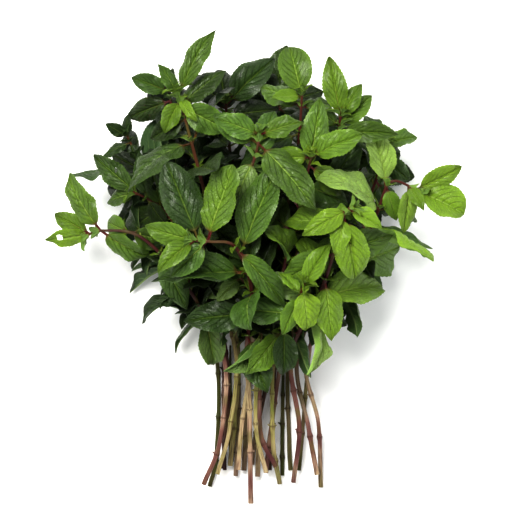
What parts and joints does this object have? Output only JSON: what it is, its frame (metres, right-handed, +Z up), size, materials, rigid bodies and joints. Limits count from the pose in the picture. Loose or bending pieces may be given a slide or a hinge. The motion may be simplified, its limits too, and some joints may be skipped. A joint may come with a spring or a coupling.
{
  "type": "mint bunch",
  "caption": "Bunch of fresh-cut mint lying on its side: bare stems gathered at the cut ends, a spreading head of pointed leaves in opposite pairs, a few stripped stems among them.",
  "frame": {"origin": "on the table, under the middle of the bunch's bounding box", "axes": "+Y runs along the stems from the cut ends to the tips of the leaves, the longest way; +Z is up from the table, the shortest way; +X completes the frame"},
  "size_m": [0.2936, 0.338, 0.1225],
  "materials": {
    "leaf": "satin",
    "stem": "satin"
  },
  "bodies": {
    "root": {"sprig_far_left": "leaf", "sprig_front_left": "leaf", "sprig_front_right": "leaf", "sprig_low_right": "leaf", "sprig_upper_right": "leaf", "sprig_far_right": "leaf", "sprig_top_left": "leaf", "sprig_top_middle": "leaf", "sprig_top_right": "leaf", "sprig_left_shoulder": "leaf", "sprig_left_tuft": "leaf", "sprig_left_middle": "leaf", "sprig_right_shoulder": "leaf", "sprig_low_far_right": "leaf", "sprig_top_back": "leaf", "sprig_middle_top": "leaf", "sprig_back_middle": "leaf", "sprig_back_left": "leaf", "sprig_back_right": "leaf", "sprig_low_front": "leaf", "bare_stem_left": "stem", "bare_stem_left_middle": "stem", "bare_stem_right_middle": "stem", "bare_stem_right": "stem"}
  },
  "joints": []
}
